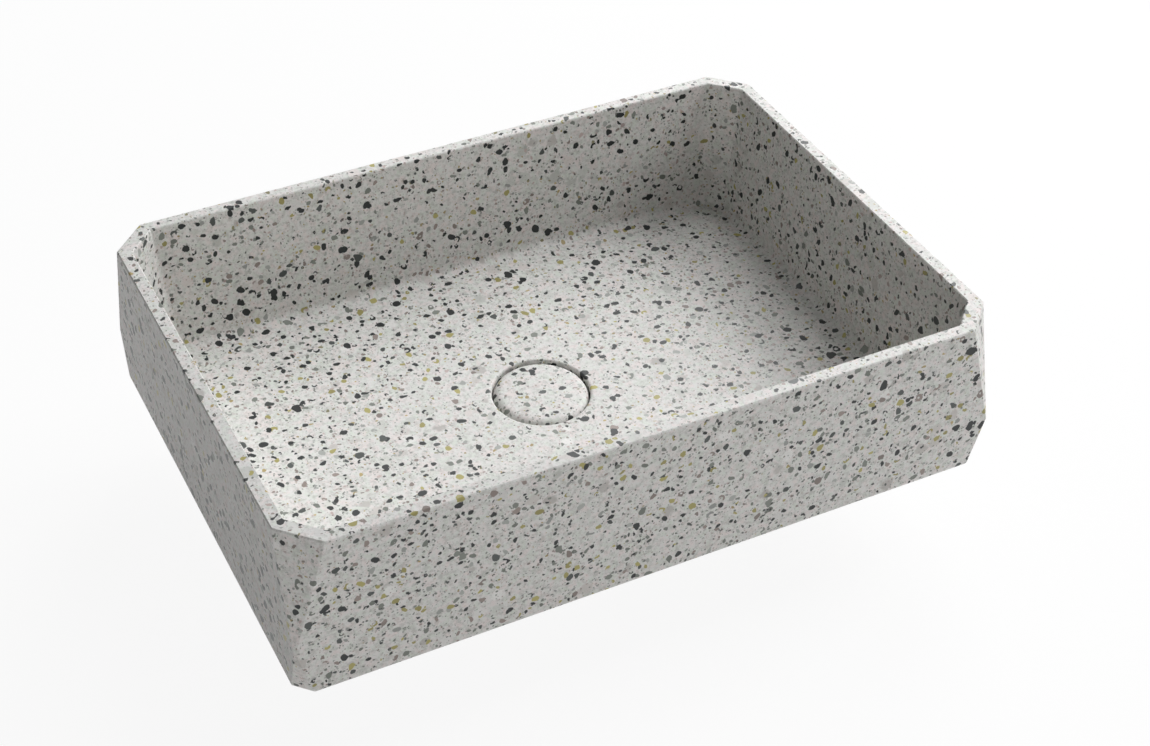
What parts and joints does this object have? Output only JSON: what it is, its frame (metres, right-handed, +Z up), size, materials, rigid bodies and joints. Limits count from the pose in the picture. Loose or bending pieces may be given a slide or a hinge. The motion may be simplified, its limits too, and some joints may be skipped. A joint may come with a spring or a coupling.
{
  "type": "countertop washbasin",
  "caption": "Rectangular cast terrazzo countertop basin with chamfered corners, and a click-clack waste under a round terrazzo drain cover.",
  "frame": {"origin": "centre of the flat base, on the plane that rests on the worktop", "axes": "+X along the longer side, to the right of someone at the front; +Y to the back; +Z up"},
  "size_m": [0.52, 0.36, 0.205],
  "materials": {
    "terrazzo": "honed and sealed",
    "chromed_brass": "polished",
    "stainless_steel": "turned",
    "spring_steel": "drawn",
    "brass": "turned",
    "rubber": "matt",
    "acetal": "moulded"
  },
  "bodies": {
    "root": {"basin": "terrazzo", "waste_body": "chromed_brass", "flange_gasket": "rubber", "base_gasket": "rubber", "slip_washer": "acetal", "back_nut": "chromed_brass", "cartridge_housing": "brass", "cartridge_gland": "brass", "guide_pin": "spring_steel", "return_spring": "spring_steel"},
    "cover": {"drain_cover": "terrazzo", "cover_insert": "stainless_steel", "cover_seal": "rubber", "height_lock_nut": "brass", "plunger": "brass", "thrust_washer": "stainless_steel", "retaining_clip": "stainless_steel"},
    "cam": {"cam_barrel": "acetal"}
  },
  "joints": [
    {"name": "cover_slide", "type": "slide", "parent": "root", "child": "cover", "axis": [0, 0, 1], "range_m": [-0.0015, 0.009], "deforming": ["return_spring"]},
    {"name": "cam_turn", "type": "hinge", "parent": "cover", "child": "cam", "pos_m": [0, 0, -0.0268], "axis": [0, 0, -1], "range_deg": [-6.6, 38.8]}
  ],
  "couplings": [
    {"joint": "cam_turn", "follows": "cover_slide", "rad_per_m": 74.8}
  ]
}
